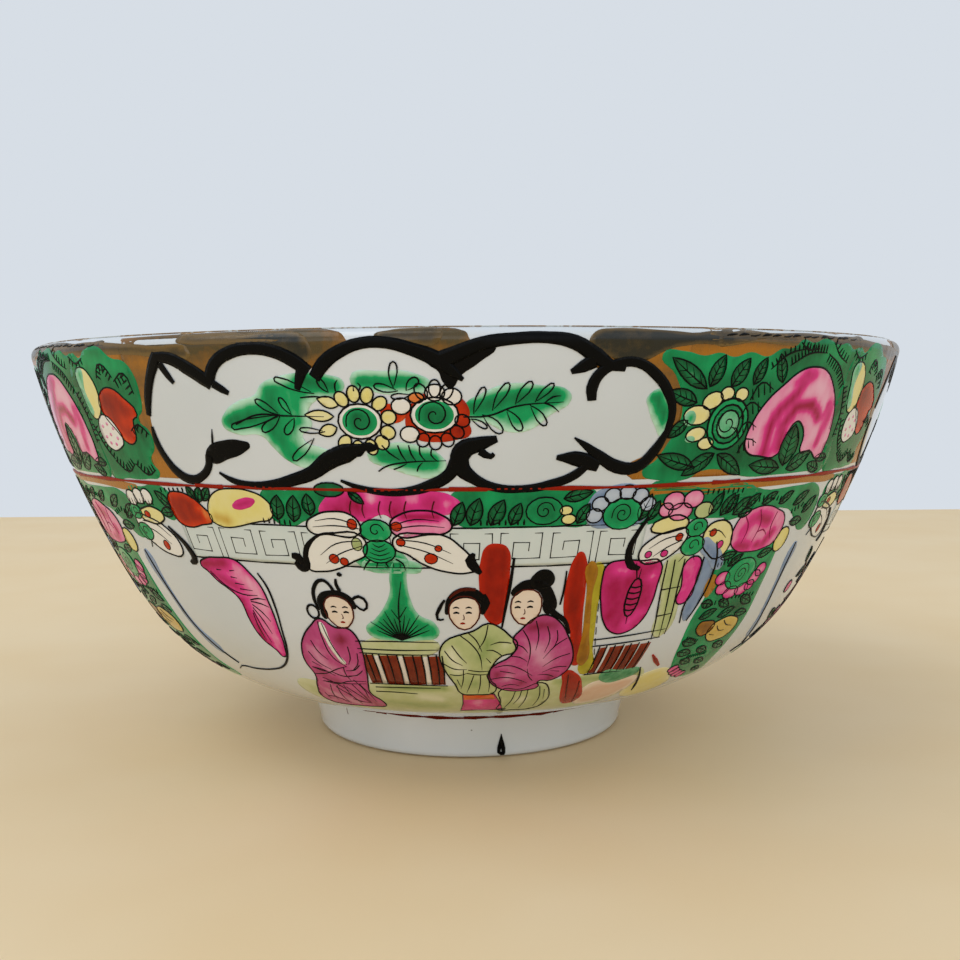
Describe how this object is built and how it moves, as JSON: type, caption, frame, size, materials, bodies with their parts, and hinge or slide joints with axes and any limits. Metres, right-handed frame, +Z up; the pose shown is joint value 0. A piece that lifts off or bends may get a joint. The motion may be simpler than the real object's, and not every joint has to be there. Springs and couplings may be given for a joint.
{
  "type": "rice bowl",
  "caption": "Round footed porcelain rice bowl with a flared wall, a gilt lip and painted enamel bands, clouds, peaches and medallions round the outside.",
  "frame": {"origin": "middle of the bare ring that the foot rests on, at the table", "axes": "+Z up along the bowl's axis; the front medallion faces -Y, its middle 8 degrees towards -X"},
  "size_m": [0.1152, 0.1152, 0.0523],
  "materials": {
    "porcelain": "unglazed where the foot rests",
    "clear_glaze": "gloss, faintly grey",
    "gilding": "worn fired gilding",
    "red_enamel": "gloss overglaze enamel",
    "black_enamel": "brushed overglaze enamel",
    "green_enamel": "gloss translucent enamel",
    "pink_enamel": "gloss shaded enamel",
    "blue_enamel": "thin blue-grey enamel",
    "figure_enamels": "several gloss enamels side by side"
  },
  "bodies": {
    "root": {"bowl_wall": "porcelain", "foot_ring": "porcelain", "inside_glaze": "clear_glaze", "outside_glaze": "clear_glaze", "foot_glaze": "clear_glaze", "well_glaze": "clear_glaze", "gilt_lip": "gilding", "waist_red_line": "red_enamel", "waist_gilt_line": "gilding", "foot_red_line": "red_enamel", "foot_ink_mark": "black_enamel", "cloud_outline_1": "black_enamel", "cloud_outline_2": "black_enamel", "cloud_outline_3": "black_enamel", "cloud_outline_4": "black_enamel", "cloud_spray_1": "green_enamel", "cloud_spray_2": "green_enamel", "cloud_spray_3": "green_enamel", "cloud_spray_4": "green_enamel", "border_foliage_1": "green_enamel", "border_foliage_2": "green_enamel", "border_foliage_3": "green_enamel", "border_foliage_4": "green_enamel", "border_peach_1": "pink_enamel", "border_peach_2": "pink_enamel", "border_peach_3": "pink_enamel", "border_peach_4": "pink_enamel", "fruit_garland_1": "green_enamel", "fruit_garland_2": "green_enamel", "fruit_garland_3": "green_enamel", "fruit_garland_4": "green_enamel", "fret_band_1": "black_enamel", "fret_band_2": "black_enamel", "fret_band_3": "black_enamel", "fret_band_4": "black_enamel", "flower_column_1": "pink_enamel", "flower_column_2": "pink_enamel", "flower_column_3": "pink_enamel", "flower_column_4": "pink_enamel", "medallion_border_1": "blue_enamel", "medallion_border_2": "blue_enamel", "medallion_border_3": "blue_enamel", "medallion_border_4": "blue_enamel", "medallion_scene_1": "figure_enamels", "medallion_scene_2": "figure_enamels", "medallion_scene_3": "figure_enamels", "medallion_scene_4": "figure_enamels"}
  },
  "joints": []
}
